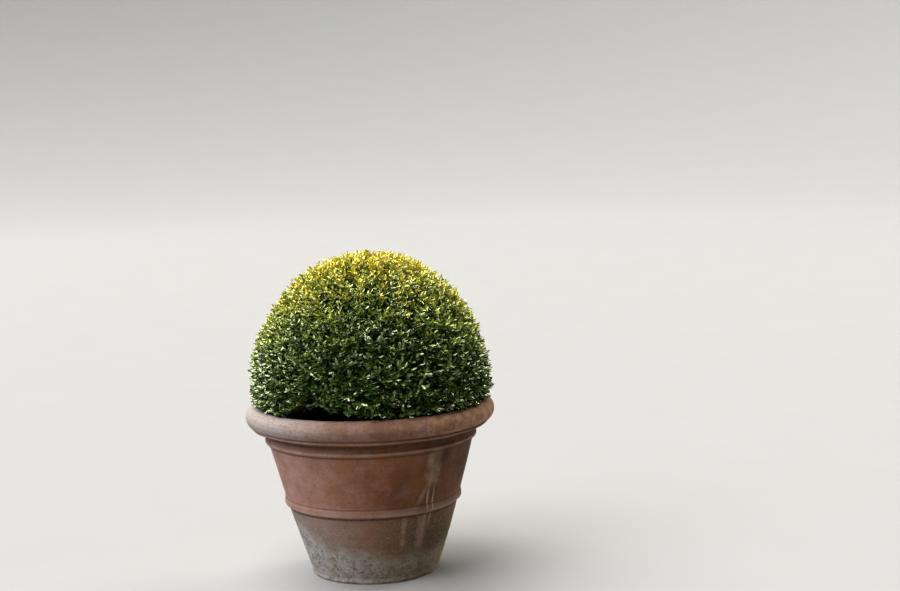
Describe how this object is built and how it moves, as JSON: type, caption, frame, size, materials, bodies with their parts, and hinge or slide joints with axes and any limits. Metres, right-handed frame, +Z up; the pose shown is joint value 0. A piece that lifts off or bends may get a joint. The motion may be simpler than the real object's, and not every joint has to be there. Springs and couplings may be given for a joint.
{
  "type": "box topiary ball in a terracotta pot",
  "caption": "Box bush clipped to a dense ball, growing in a round thick-walled terracotta pot with a rolled rim and a raised band.",
  "frame": {"origin": "centre of the pot's flat underside, which stands on the floor", "axes": "+Z up along the pot's axis, through the drain hole and the ball's top; -Y is the side that the reference picture shows"},
  "size_m": [0.6, 0.6, 0.7794],
  "materials": {
    "terracotta": "matte",
    "soil": "matte",
    "bark": "matte",
    "box_leaves": "satin"
  },
  "bodies": {
    "root": {"terracotta_pot": "terracotta", "potting_soil": "soil", "main_stem": "bark", "clipped_foliage": "box_leaves"}
  },
  "joints": []
}
